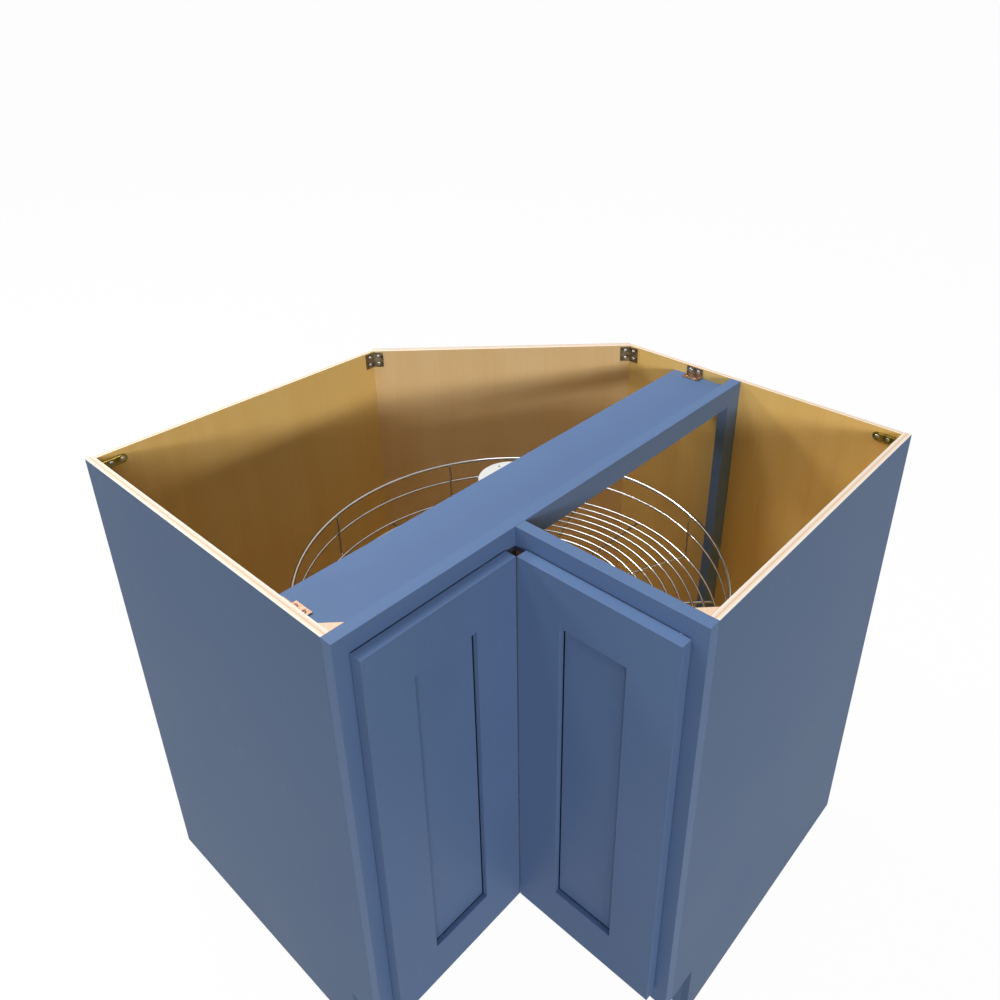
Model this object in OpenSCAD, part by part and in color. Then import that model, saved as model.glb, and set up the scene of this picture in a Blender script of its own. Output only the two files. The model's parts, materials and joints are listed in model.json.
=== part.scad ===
// Corner carousel base cabinet: a five-sided plywood box for a kitchen corner, two face
// frames at a right angle, a pair of doors that fold at the inner corner, and two
// kidney-shaped wire trays that turn on one fixed pole.
// The room corner is at -X, +Y. The doors face +X and -Y. Z = 0 is the kitchen floor.

/* [Carcass] */
// Length of the cabinet along each room wall
wall_run = 914.4; // [890:1:960]
// Depth of each end, from the room wall to the front of its face frame
side_depth = 609.6; // [600:1:630]
// Height from the floor to the top edge
cabinet_h = 876.3; // [800:1:930]
// Length that the diagonal back takes off each room wall
corner_cut = 355.6; // [300:1:380]
// Thickness of the plywood end panels
side_t = 12.7; // [9:0.1:19]
// Thickness of the plywood backs along the walls
back_t = 9.5; // [6:0.1:15]
// Thickness of the diagonal back
diagonal_t = 12.7; // [9:0.1:16]
// Thickness of the cabinet floor
floor_t = 12.7; // [9:0.1:19]

/* [Toe space] */
// Height of the toe space
toe_h = 114.3; // [90:1:130]
// Depth of the toe space behind the face frames
toe_d = 76.2; // [60:1:90]
// Thickness of the toe boards
toe_t = 12.7; // [9:0.1:19]

/* [Face frames] */
// Thickness of the face frames
frame_t = 19.05; // [16:0.1:22]
// Width of the stiles and rails of the face frames
frame_w = 38.1; // [34:0.1:45]

/* [Stretcher] */
// Width of the board behind the top rail
stretcher_w = 120.65; // [112:0.1:150]
// Thickness of that board
stretcher_t = 19.05; // [15:0.1:22]
// Distance of its top below the cabinet's top edge
stretcher_drop = 19.05; // [19:0.1:24]
// Leg of the triangular blocks in the outer frame corners
block_leg = 22; // [16:1:28]
// Height of those blocks
block_h = 17; // [12:1:19]

/* [Doors] */
// Thickness of the doors
door_t = 19.05; // [18:0.1:22]
// Gap between a closed door and its face frame
door_gap = 2; // [1.5:0.1:3]
// Width of face frame left showing beside a door
side_reveal = 22; // [18:0.5:28]
// Width of face frame left showing above a door
top_reveal = 27; // [22:0.5:30]
// Width of face frame left showing below a door
bottom_reveal = 25; // [20:0.5:30]
// Gap between the two doors at the fold, half on each door
fold_gap = 2; // [1.5:0.1:3]
// Width of the door stiles
door_stile_w = 76.2; // [66:0.1:84]
// Width of the door rails
door_rail_w = 80; // [66:0.5:95]
// Thickness of the flat door panels
panel_t = 6.35; // [5:0.1:7]
// Distance of a panel behind its door's front
panel_recess = 8; // [4:0.1:9]
// Depth of the groove that holds a panel
groove_d = 9.5; // [6:0.1:12]
// Play of a panel in its groove, at each edge
panel_play = 0.5; // [0.2:0.1:1.5]
// Radius of the rubber bumpers
bumper_r = 4.5; // [3:0.1:5]
// Gap from a bumper to the face frame
bumper_clear = 0.3; // [0.2:0.05:0.6]
// Distance of a bumper's middle from the door's top or bottom edge
bumper_in = 5.5; // [5:0.1:6]

/* [Hinges] */
// Height of a hinge centre above or below the door's end
hinge_inset = 50; // [42:1:60]
// Radius of a hinge cup
cup_r = 17.5; // [13:0.5:18]
// Depth of a hinge cup in the door
cup_depth = 11.5; // [9:0.1:13]
// Distance of a cup's centre from the door's edge
cup_edge = 22.5; // [21:0.5:26]
// Thickness of a hinge's flange and plate
hinge_plate_t = 1.5; // [1:0.1:1.6]
// Width of a hinge arm
arm_w = 12; // [8:0.5:14]
// Thickness of a hinge cup's wall and of its bottom
cup_wall = 1.5; // [0.8:0.1:2]
// Overhang of a cup's flange beside the cup
flange_side = 1; // [0.5:0.1:3]
// Overhang of a cup's flange above and below the cup
flange_end = 6; // [3:0.5:9]
// Thickness of the link that lies in a cup
link_t = 3; // [1.5:0.1:4]
// Height of a mounting plate
mount_plate_h = 46; // [36:1:60]
// Reach of a mounting plate behind the face frame
plate_reach = 6; // [2:0.5:12]
// Reach of a hinge arm behind the face frame
arm_reach = 14; // [8:0.5:20]
// Length of a fold hinge's plate from the cup's centre, away from the fold
fold_plate_reach = 23; // [18:0.5:30]
// Length of a fold hinge's arm from the cup's centre, away from the fold
fold_arm_reach = 15; // [8:0.5:17]
// Height of a fold hinge's arm over its plate
fold_arm_h = 9; // [5:0.5:12]

/* [Brackets] */
// Thickness of the zinc brackets
bracket_t = 1.8; // [1.2:0.1:2.5]
// Length of a corner brace's leg
brace_leg = 45; // [36:1:60]
// Height of a corner brace
brace_h = 16; // [12:1:20]
// Distance from the top edge down to the middle of the corner braces
brace_drop = 17; // [12:1:30]
// Width of one leaf of the bent back-corner brackets
leaf_w = 19; // [14:1:26]
// Height of those leaves
leaf_h = 30; // [24:1:40]
// Distance from the top edge down to those brackets
leaf_drop = 2.5; // [1:0.5:10]
// Width of the angle brackets at the stretcher's ends
end_bracket_w = 33; // [26:1:40]
// Leg of those brackets
end_bracket_leg = 18; // [14:0.5:18]
// Distance from the face frame back to those brackets
end_bracket_offset = 60; // [30:1:70]
// Radius of a screw's head
screw_head_r = 3.4; // [2.6:0.1:4]
// Height of a screw's head
screw_head_h = 1.6; // [1:0.1:2.5]
// Radius of a screw's shank
screw_r = 1.7; // [1.2:0.1:2]
// Depth of a screw in the wood
screw_bite = 7; // [4:0.5:9]
// Clearance round a screw's shank in the metal or plastic that it holds
screw_clear = 0.15; // [0.05:0.05:0.4]
// Distance of a corner brace's first screw from the corner
brace_first_screw = 19; // [12:0.5:24]
// Distance of an end bracket's screws from its ends
end_bracket_screw_in = 8; // [5:0.5:10]
// Distance of an end bracket's screws from its bend
end_bracket_screw_out = 11; // [8:0.5:12]

/* [Pole] */
// Play of the pole between the bottoms of its sockets, at each end
pole_end_play = 0.3; // [0.1:0.05:0.8]
// Distance of the pole from each room wall
pole_setback = 480; // [470:1:482]
// Radius of the pole
pole_r = 12.7; // [10:0.1:14]
// Clearance round the pole in its sockets and in the tray hubs
pole_clear = 0.25; // [0.1:0.05:0.4]
// Clearance round the pole in a clamped collar
collar_clear = 0.05; // [0.02:0.01:0.1]
// Radius of the top and bottom flanges
flange_r = 50; // [44:1:60]
// Thickness of those flanges
flange_t = 5; // [3:0.5:8]
// Radius of the sockets on those flanges
socket_r = 19; // [17:0.5:24]
// Depth of those sockets
socket_depth = 24; // [15:1:35]
// Radius on which the flange screws sit
flange_screw_circle = 40; // [32:0.5:41]
// Radius of the collars that carry the trays
collar_r = 21; // [18:0.5:28]
// Height of those collars
collar_h = 14; // [10:0.5:20]
// Gap between a collar and the hub that turns on it
collar_gap = 0.3; // [0.2:0.05:0.6]

/* [Trays] */
// Radius of the trays over the rim wire
tray_r = 355.6; // [340:0.2:360]
// Distance from the pole to the middle of the rim wire along the cut-out
cutout_offset = 75; // [68:0.5:80]
// Radius of the rim wire in the inner corner of the cut-out
cutout_fillet = 70; // [66:1:80]
// Height of the upper tray's floor above the cabinet's floor
upper_rise = 428.6; // [388:0.1:480]
// Height of the lower tray's floor above the cabinet's floor
lower_rise = 73.6; // [73.6:0.1:107]
// Height of the middle hoop above a tray's floor
mid_rise = 45; // [30:1:52]
// Height of the rim above a tray's floor
rim_rise = 83; // [65:1:95]
// Angle at which the upper tray was left standing
upper_turn = -3.4; // [-6:0.1:4]
// Thickness of the rim wire
rim_d = 6.5; // [5:0.1:8]
// Thickness of the middle hoop
mid_d = 4.5; // [3.5:0.1:5]
// Thickness of the hoop round the tray's floor
floor_hoop_d = 5; // [4:0.1:6]
// Thickness of the floor rings
ring_d = 4; // [3:0.1:4.6]
// Spacing of the floor rings
ring_pitch = 18.7; // [16:0.1:24]
// Thickness of the spokes and the upright wires
spoke_d = 4; // [3:0.1:5]
// Angle between two spokes
spoke_step_angle = 21.7; // [20:0.1:22]
// Largest angle between the middle spoke and the last one
last_spoke_angle = 133; // [125:1:134]
// Distance of the first upright along the cut-out from the end of its rounded corner
side_post_in = 20; // [8:1:40]
// Depth to which welded wires sink into each other
weld = 0.3; // [0.1:0.05:0.5]
// Depth to which the spokes sink into a hub
hub_bite = 6; // [3:0.5:9]
// Radius of a tray's hub
hub_r = 30; // [26:0.5:36]
// Height of a hub above the spokes
hub_above = 26; // [15:1:35]
// Height of a hub below the spokes
hub_below = 14; // [8:1:20]

/* [Hidden] */
$fn = 96;

// Outer and inner faces of the carcass.
x0 = -wall_run / 2;
y0 = -wall_run / 2;
x1 = wall_run / 2;
y1 = wall_run / 2;
wall_in_x = x0 + back_t;
wall_in_y = y1 - back_t;
left_in = y0 + side_t;
right_in = x1 - side_t;

// Front and back faces of the two face frames.
frame_x = x0 + side_depth;
frame_y = y1 - side_depth;
frame_back_x = frame_x - frame_t;
frame_back_y = frame_y + frame_t;
toe_x = frame_x - toe_d;
toe_y = frame_y + toe_d;
frame_low = toe_h + frame_w;
frame_high = cabinet_h - frame_w;
floor_low = frame_low - floor_t;

// Corners of the diagonal back: outside, and where its inner face meets the walls' backs.
diagonal_a = [x0, y1 - corner_cut];
diagonal_b = [x0 + corner_cut, y1];
diagonal_shift = diagonal_t * sqrt(2) - back_t;
diagonal_in_a = [wall_in_x, diagonal_a[1] - diagonal_shift];
diagonal_in_b = [diagonal_b[0] + diagonal_shift, wall_in_y];

stretcher_x = frame_back_x - stretcher_w;
stretcher_top = cabinet_h - stretcher_drop;
stretcher_low = stretcher_top - stretcher_t;

// Doors. fold_at is the line in front of the inner corner on which they fold.
door_back = door_gap;
door_front = door_gap + door_t;
fold_x = frame_x + door_front;
fold_y = frame_y - door_front;
door_low = frame_low - (frame_w - bottom_reveal);
door_high = cabinet_h - top_reveal;
door_w = fold_y - fold_gap / 2 - (y0 + side_reveal);
door_hinge_z = [door_low + hinge_inset, door_high - hinge_inset];
bumper_z = [door_low + bumper_in, door_high - bumper_in];

pole_x = x0 + pole_setback;
pole_y = y1 - pole_setback;
pole_low = frame_low + flange_t + pole_end_play;
pole_high = stretcher_low - flange_t - pole_end_play;

// Heights of the trays' floors above the kitchen floor, and the direction of the middle
// spoke, which points at the diagonal back.
upper_z = frame_low + upper_rise;
lower_z = frame_low + lower_rise;
back_angle = 135;

// Plan of the trays, from the pole: the rim's middle line, and how far inside it the
// uprights and the other hoops run.
rim_r = tray_r - rim_d / 2;
wing_r = rim_r - cutout_offset;
fillet_at = cutout_offset + cutout_fillet;
post_inset = (rim_d + spoke_d) / 2 - weld;
mid_inset = post_inset - (mid_d + spoke_d) / 2 + weld;
floor_inset = post_inset + (floor_hoop_d + spoke_d) / 2 - weld;
ring_count = floor((rim_r - floor_inset - hub_r) / ring_pitch) - 1;
spoke_last = floor(last_spoke_angle / spoke_step_angle);

zinc = [0.72, 0.66, 0.40];
paint = [0.33, 0.42, 0.55];
birch = [0.80, 0.62, 0.40];
chrome = [0.82, 0.83, 0.85];
plastic = [0.92, 0.92, 0.90];
steel = [0.66, 0.67, 0.69];

// ---- helpers ----

// A box between two opposite corners.
module block(low, high) {
    translate(low) cube(high - low);
}

// A board with the given plan, between two heights.
module board(plan, low, high) {
    translate([0, 0, low]) linear_extrude(high - low) polygon(plan);
}

// Turns +Z to the direction v.
module along(v) {
    rotate([0, acos(v[2] / norm(v)), atan2(v[1], v[0])]) children();
}

// A pan-head wood screw. Its head rests on the point p and its shank runs along v.
module wood_screw(p, v, through) {
    translate(p) along(v) {
        translate([0, 0, -screw_head_h / 2]) cylinder(h = screw_head_h / 2, r = screw_head_r);
        translate([0, 0, -screw_head_h])
            cylinder(h = screw_head_h / 2, r1 = screw_head_r * 0.7, r2 = screw_head_r);
        cylinder(h = through + screw_bite, r = screw_r);
    }
}

// Holes for the same screws.
module screw_hole(p, v, through) {
    translate(p) along(v) translate([0, 0, -1]) cylinder(h = through + 2, r = screw_r + screw_clear);
}

// ---- carcass ----

module left_side_panel() {
    color(paint)
        translate([0, left_in, 0]) rotate([90, 0, 0]) linear_extrude(side_t)
            polygon([[x0, 0], [toe_x, 0], [toe_x, toe_h], [frame_back_x, toe_h],
                     [frame_back_x, cabinet_h], [x0, cabinet_h]]);
}

module right_side_panel() {
    color(paint)
        translate([right_in, 0, 0]) rotate([90, 0, 90]) linear_extrude(side_t)
            polygon([[toe_y, 0], [y1, 0], [y1, cabinet_h], [frame_back_y, cabinet_h],
                     [frame_back_y, toe_h], [toe_y, toe_h]]);
}

module left_back_panel() {
    color(birch)
        board([[x0, left_in], [wall_in_x, left_in], diagonal_in_a, diagonal_a], 0, cabinet_h);
}

module diagonal_back_panel() {
    color(birch)
        board([diagonal_a, diagonal_in_a, diagonal_in_b, diagonal_b], 0, cabinet_h);
}

module right_back_panel() {
    color(birch)
        board([diagonal_b, diagonal_in_b, [right_in, wall_in_y], [right_in, y1]], 0, cabinet_h);
}

module main_floor() {
    color(birch)
        board([[wall_in_x, left_in], [frame_back_x, left_in], [frame_back_x, wall_in_y],
               diagonal_in_b, diagonal_in_a], floor_low, frame_low);
}

module right_floor() {
    color(birch)
        block([frame_x, frame_back_y, floor_low], [right_in, wall_in_y, frame_low]);
}

module left_toe_board() {
    color(paint) block([toe_x - toe_t, left_in, 0], [toe_x, toe_y + toe_t, floor_low]);
}

// The right toe board passes under the left frame's bottom rail, so it is notched for it.
module right_toe_board() {
    color(paint) difference() {
        block([toe_x, toe_y, 0], [right_in, toe_y + toe_t, floor_low]);
        block([frame_back_x, toe_y - 1, toe_h], [frame_x, toe_y + toe_t + 1, floor_low + 1]);
    }
}

// ---- face frames ----

module left_outer_stile() {
    color(paint) block([frame_back_x, y0, toe_h], [frame_x, y0 + frame_w, cabinet_h]);
}

module wall_stile() {
    color(paint) block([frame_back_x, wall_in_y - frame_w, toe_h], [frame_x, wall_in_y, cabinet_h]);
}

module left_rail(low) {
    color(paint)
        block([frame_back_x, y0 + frame_w, low], [frame_x, wall_in_y - frame_w, low + frame_w]);
}

module left_top_rail() { left_rail(frame_high); }

module left_bottom_rail() { left_rail(toe_h); }

module right_outer_stile() {
    color(paint) block([x1 - frame_w, frame_y, toe_h], [x1, frame_back_y, cabinet_h]);
}

module right_rail(low) {
    color(paint) block([frame_x, frame_y, low], [x1 - frame_w, frame_back_y, low + frame_w]);
}

module right_top_rail() { right_rail(frame_high); }

module right_bottom_rail() { right_rail(toe_h); }

module top_stretcher() {
    color(paint)
        block([stretcher_x, left_in, stretcher_low], [frame_back_x, wall_in_y, stretcher_top]);
}

// A triangular block glued into the top of each outer frame corner.
module corner_blocks() {
    color(birch) {
        board([[frame_back_x, left_in], [frame_back_x, left_in + block_leg],
               [frame_back_x - block_leg, left_in]], cabinet_h - block_h, cabinet_h);
        board([[right_in, frame_back_y], [right_in, frame_back_y + block_leg],
               [right_in - block_leg, frame_back_y]], cabinet_h - block_h, cabinet_h);
    }
}

// ---- brackets ----

// A flat leg in the XZ plane from the origin along +X, its face on -Y, or on +Y if flipped.
// The leg is turned by angle about Z.
module leg(angle, flip) {
    rotate([0, 0, angle]) rotate([flip ? -90 : 90, 0, 0]) linear_extrude(bracket_t) children();
}

// Where screws go on such a leg: [place along the leg, height].
brace_screws = [[brace_first_screw, 0], [brace_leg - brace_h / 2, 0]];
leaf_screws = [[leaf_w / 2, leaf_h / 4], [leaf_w / 2, -leaf_h / 4]];

// Each leg as [corner, height, angle, flip].
brace_z = cabinet_h - brace_drop;
brace_legs = [
    [[wall_in_x, left_in], brace_z, 90, false],
    [[wall_in_x, left_in], brace_z, 0, true],
    [[right_in, wall_in_y], brace_z, 180, true],
    [[right_in, wall_in_y], brace_z, -90, false]
];
leaf_z = cabinet_h - leaf_drop - leaf_h / 2;
leaf_legs = [
    [diagonal_in_a, leaf_z, -90, true],
    [diagonal_in_a, leaf_z, 45, false],
    [diagonal_in_b, leaf_z, 225, true],
    [diagonal_in_b, leaf_z, 0, false]
];

function leg_normal(l) = (l[3] ? 1 : -1) * [-sin(l[2]), cos(l[2]), 0];
function leg_point(l, s) = [l[0][0] + s[0] * cos(l[2]), l[0][1] + s[0] * sin(l[2]), l[1] + s[1]];
function leg_screw_at(l, s) = leg_point(l, s) + bracket_t * leg_normal(l);

module brace_outline() {
    translate([0, -brace_h / 2]) square([brace_leg - brace_h / 2, brace_h]);
    translate([brace_leg - brace_h / 2, 0]) circle(r = brace_h / 2);
}

module leaf_outline() {
    translate([0, -leaf_h / 2]) square([leaf_w, leaf_h]);
}

module corner_braces() {
    color(zinc) difference() {
        for (l = brace_legs)
            translate([l[0][0], l[0][1], l[1]]) leg(l[2], l[3]) brace_outline();
        for (l = brace_legs, s = brace_screws)
            screw_hole(leg_screw_at(l, s), -leg_normal(l), bracket_t);
    }
}

module back_corner_brackets() {
    color(zinc) difference() {
        for (l = leaf_legs)
            translate([l[0][0], l[0][1], l[1]]) leg(l[2], l[3]) leaf_outline();
        for (l = leaf_legs, s = leaf_screws)
            screw_hole(leg_screw_at(l, s), -leg_normal(l), bracket_t);
    }
}

// Angle brackets at the stretcher's ends: [place of the corner along Y, side of the wall].
end_brackets = [[left_in, -1], [wall_in_y, 1]];
end_bracket_x = frame_back_x - end_bracket_offset - end_bracket_w;
end_bracket_screws = [end_bracket_screw_in, end_bracket_w - end_bracket_screw_in];
function end_wall_point(b, s) =
    [end_bracket_x + s, b[0] - b[1] * bracket_t, stretcher_top + end_bracket_screw_out];
function end_top_point(b, s) =
    [end_bracket_x + s, b[0] - b[1] * end_bracket_screw_out, stretcher_top + bracket_t];

module stretcher_brackets() {
    color(zinc) difference() {
        for (b = end_brackets) {
            block([end_bracket_x, min(b[0], b[0] - b[1] * bracket_t), stretcher_top],
                  [end_bracket_x + end_bracket_w, max(b[0], b[0] - b[1] * bracket_t),
                   stretcher_top + end_bracket_leg]);
            block([end_bracket_x, min(b[0], b[0] - b[1] * end_bracket_leg), stretcher_top],
                  [end_bracket_x + end_bracket_w, max(b[0], b[0] - b[1] * end_bracket_leg),
                   stretcher_top + bracket_t]);
        }
        for (b = end_brackets, s = end_bracket_screws) {
            screw_hole(end_wall_point(b, s), [0, b[1], 0], bracket_t);
            screw_hole(end_top_point(b, s), [0, 0, -1], bracket_t);
        }
    }
}

module bracket_screws() {
    color(steel) {
        for (l = brace_legs, s = brace_screws)
            wood_screw(leg_screw_at(l, s), -leg_normal(l), bracket_t);
        for (l = leaf_legs, s = leaf_screws)
            wood_screw(leg_screw_at(l, s), -leg_normal(l), bracket_t);
        for (b = end_brackets, s = end_bracket_screws) {
            wood_screw(end_wall_point(b, s), [0, b[1], 0], bracket_t);
            wood_screw(end_top_point(b, s), [0, 0, -1], bracket_t);
        }
    }
}

// ---- pole ----

// Four holes in each flange. Only those under the stretcher's wood hold a screw at the top.
flange_angles = [160, 250, 340, 70];
function flange_point(a) =
    [pole_x + flange_screw_circle * cos(a), pole_y + flange_screw_circle * sin(a)];
function under_stretcher(a) = flange_point(a)[0] > stretcher_x + 2 * screw_head_r;

module centre_pole() {
    color(chrome) translate([pole_x, pole_y, pole_low])
        cylinder(h = pole_high - pole_low, r = pole_r);
}

// A flange with a blind socket for the pole, standing on z = 0, and its screw holes.
module pole_flange() {
    difference() {
        union() {
            cylinder(h = flange_t, r = flange_r);
            cylinder(h = flange_t + socket_depth, r = socket_r);
        }
        translate([0, 0, flange_t]) cylinder(h = socket_depth + 1, r = pole_r + pole_clear);
        for (a = flange_angles)
            translate([flange_screw_circle * cos(a), flange_screw_circle * sin(a), -1])
                cylinder(h = flange_t + 2, r = screw_r + screw_clear);
    }
}

module top_bearing_flange() {
    color(plastic) translate([pole_x, pole_y, stretcher_low]) mirror([0, 0, 1]) pole_flange();
}

module floor_bearing_plate() {
    color(plastic) translate([pole_x, pole_y, frame_low]) pole_flange();
}

module flange_screws() {
    color(steel) for (a = flange_angles) {
        p = flange_point(a);
        wood_screw([p[0], p[1], frame_low + flange_t], [0, 0, -1], flange_t);
        if (under_stretcher(a))
            wood_screw([p[0], p[1], stretcher_low - flange_t], [0, 0, 1], flange_t);
    }
}

// A collar clamped on the pole under a tray's hub.
module collar(tray_z) {
    hub_low = spoke_z(tray_z) - hub_below;
    color(steel) translate([pole_x, pole_y, hub_low - collar_gap - collar_h]) difference() {
        cylinder(h = collar_h, r = collar_r);
        translate([0, 0, -1]) cylinder(h = collar_h + 2, r = pole_r + collar_clear);
    }
}

module upper_collar() { collar(upper_z); }

module lower_collar() { collar(lower_z); }

// ---- doors ----
// Both doors are drawn as one door that stands on the XZ plane: X runs from its outer edge
// to the fold, its back is at y = 0 and its front at y = -door_t.

module left_door_place() {
    translate([frame_x + door_back, y0 + side_reveal, 0]) rotate([0, 0, 90]) children();
}

module right_door_place() {
    translate([x1 - side_reveal, frame_y - door_back, 0]) mirror([1, 0, 0]) children();
}

groove_low = -door_t + panel_recess;
rail_span = [door_stile_w, door_w - door_stile_w];

module door_stile(at) {
    grooved = at == 0 ? door_stile_w - groove_d : at - 1;
    difference() {
        block([at, -door_t, door_low], [at + door_stile_w, 0, door_high]);
        block([grooved, groove_low, door_low - 1],
              [grooved + groove_d + 1, groove_low + panel_t, door_high + 1]);
    }
}

module door_rail(low, groove_at) {
    difference() {
        union() {
            block([rail_span[0], -door_t, low], [rail_span[1], 0, low + door_rail_w]);
            block([rail_span[0] - groove_d, groove_low, low],
                  [rail_span[1] + groove_d, groove_low + panel_t, low + door_rail_w]);
        }
        block([rail_span[0] - groove_d - 1, groove_low, groove_at],
              [rail_span[1] + groove_d + 1, groove_low + panel_t, groove_at + groove_d]);
    }
}

module door_top_rail() {
    low = door_high - door_rail_w;
    door_rail(low, low);
}

module door_bottom_rail() {
    door_rail(door_low, door_low + door_rail_w - groove_d);
}

module door_panel() {
    side = groove_d - panel_play;
    block([rail_span[0] - side, groove_low, door_low + door_rail_w - side],
          [rail_span[1] + side, groove_low + panel_t, door_high - door_rail_w + side]);
}

// Pockets and cups for concealed hinges, on the back of a door, cup_edge from one edge.
module cup_pockets(at) {
    for (z = door_hinge_z)
        translate([at, 1, z]) rotate([90, 0, 0]) cylinder(h = cup_depth + 1, r = cup_r);
}

module hinge_cups(at, arm_high) {
    for (z = door_hinge_z) translate([at, 0, z]) {
        difference() {
            union() {
                rotate([90, 0, 0]) cylinder(h = cup_depth, r = cup_r);
                block([-cup_r - flange_side, 0, -cup_r - flange_end],
                      [cup_r + flange_side, hinge_plate_t, cup_r + flange_end]);
            }
            translate([0, hinge_plate_t + 1, 0]) rotate([90, 0, 0])
                cylinder(h = cup_depth + hinge_plate_t + 1 - cup_wall, r = cup_r - cup_wall);
        }
        link_low = cup_wall - cup_depth;
        block([cup_wall - cup_r, link_low, -arm_w / 2], [cup_r - cup_wall, link_low + link_t, arm_w / 2]);
        if (arm_high > 0)
            block([0, hinge_plate_t, -arm_w / 2], [cup_r + flange_side, arm_high, arm_w / 2]);
    }
}

module bumpers(at) {
    for (z = bumper_z)
        translate([at, door_gap - bumper_clear, z]) rotate([90, 0, 0])
            cylinder(h = door_gap - bumper_clear, r = bumper_r);
}

fold_cup = door_w - cup_edge;

module left_door_outer_stile() {
    color(paint) left_door_place() difference() {
        door_stile(0);
        cup_pockets(cup_edge);
    }
}

module left_door_corner_stile() {
    color(paint) left_door_place() door_stile(door_w - door_stile_w);
}

module left_door_top_rail() { color(paint) left_door_place() door_top_rail(); }

module left_door_bottom_rail() { color(paint) left_door_place() door_bottom_rail(); }

module left_door_panel() { color(paint) left_door_place() door_panel(); }

module frame_hinge_cups() {
    color(steel) left_door_place() hinge_cups(cup_edge, 0);
}

// Mounting plates and arms on the inner edge of the left frame's outer stile.
module hinge_mounting_plates() {
    edge = y0 + frame_w;
    color(steel) for (z = door_hinge_z) {
        block([frame_back_x - plate_reach, edge, z - mount_plate_h / 2],
              [frame_x - hinge_plate_t, edge + 2 * hinge_plate_t, z + mount_plate_h / 2]);
        block([frame_back_x - arm_reach, edge + 2 * hinge_plate_t, z - arm_w / 2],
              [frame_x, edge + 2 * hinge_plate_t + arm_w, z + arm_w / 2]);
    }
}

// Plates of the fold hinges, on the back of the left door beside the fold.
module fold_hinge_plates() {
    color(steel) left_door_place() for (z = door_hinge_z) {
        block([fold_cup - fold_plate_reach, 0, z - cup_r],
              [fold_cup + cup_edge / 2, 2 * hinge_plate_t, z + cup_r]);
        block([fold_cup - fold_arm_reach, 2 * hinge_plate_t, z - arm_w / 2],
              [fold_cup + cup_edge / 2, 2 * hinge_plate_t + fold_arm_h, z + arm_w / 2]);
    }
}

module left_door_bumpers() {
    color(plastic) left_door_place() bumpers(door_w - door_stile_w / 2);
}

module right_door_outer_stile() { color(paint) right_door_place() door_stile(0); }

module right_door_corner_stile() {
    color(paint) right_door_place() difference() {
        door_stile(door_w - door_stile_w);
        cup_pockets(fold_cup);
    }
}

module right_door_top_rail() { color(paint) right_door_place() door_top_rail(); }

module right_door_bottom_rail() { color(paint) right_door_place() door_bottom_rail(); }

module right_door_panel() { color(paint) right_door_place() door_panel(); }

module fold_hinge_cups() {
    color(steel) right_door_place() hinge_cups(fold_cup, 2 * hinge_plate_t + fold_arm_h);
}

module right_door_bumpers() {
    color(plastic) right_door_place() bumpers(door_stile_w / 5);
}

// ---- trays ----
// A tray is drawn round the pole. Its floor wires lie on z = 0, and its cut-out opens
// towards +X and -Y.

function spoke_z(tray_z) = tray_z - (ring_d + spoke_d) / 2 + weld;

module upper_place() {
    translate([pole_x, pole_y, upper_z]) rotate([0, 0, upper_turn]) children();
}

module lower_place() {
    translate([pole_x, pole_y, lower_z]) children();
}

// A wire bent to a circle's arc.
module arc_wire(centre, r, d, from, to) {
    translate(centre) rotate([0, 0, from]) rotate_extrude(angle = to - from)
        translate([r, 0]) circle(d = d);
}

// A hoop that follows the tray's plan, inset from the rim's middle line.
module hoop(inset, d) {
    r = rim_r - inset;
    n = cutout_offset - inset;
    arc_wire([0, 0], r, d, 0, 270);
    arc_wire([wing_r, 0], n, d, -90, 0);
    arc_wire([0, -wing_r], n, d, -90, 0);
    arc_wire([fillet_at, -fillet_at], cutout_fillet + inset, d, 90, 180);
    translate([fillet_at, -n, 0]) rotate([0, 90, 0]) cylinder(h = wing_r - fillet_at, d = d);
    translate([n, -fillet_at, 0]) rotate([90, 0, 0]) cylinder(h = wing_r - fillet_at, d = d);
}

// Angle at which a floor ring of radius r meets the floor hoop beside the cut-out: on the
// wing's round end, on the straight side, or on the inner corner. Smaller rings close.
hoop_n = cutout_offset - floor_inset;
hoop_f = cutout_fillet + floor_inset;
fillet_far = fillet_at * sqrt(2);
wing_from = norm([wing_r, hoop_n]);
side_from = norm([fillet_at, hoop_n]);
closed_to = fillet_far - hoop_f;
function meet(r, far, hoop_radius) = acos((r * r + far * far - hoop_radius * hoop_radius) / (2 * r * far));
function ring_from(r) =
    r > wing_from ? -meet(r, wing_r, hoop_n) :
    r > side_from ? -asin(hoop_n / r) :
    -45 + meet(r, fillet_far, hoop_f);

module floor_rings() {
    for (i = [1:ring_count]) {
        r = rim_r - floor_inset - i * ring_pitch;
        if (r > closed_to)
            arc_wire([0, 0], r, ring_d, ring_from(r), 2 * back_angle - ring_from(r));
        else if (r < closed_to - (ring_d + floor_hoop_d) / 2)
            rotate_extrude() translate([r, 0]) circle(d = ring_d);
    }
}

// Spokes are counted from the middle one.

function spoke_angle(k) = back_angle + k * spoke_step_angle;
post_r = rim_r - post_inset;
drop = (ring_d + spoke_d) / 2 - weld;

// Every other spoke runs out to an upright, and the rest end on the floor hoop.
module spokes() {
    for (k = [-spoke_last:spoke_last]) {
        out = abs(k) % 2 == 1 ? post_r : rim_r - floor_inset + floor_hoop_d / 2;
        rotate([0, 0, spoke_angle(k)]) translate([hub_r - hub_bite, 0, -drop]) rotate([0, 90, 0])
            cylinder(h = out - hub_r + hub_bite, d = spoke_d);
    }
}

side_post = cutout_offset - post_inset;

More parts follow.
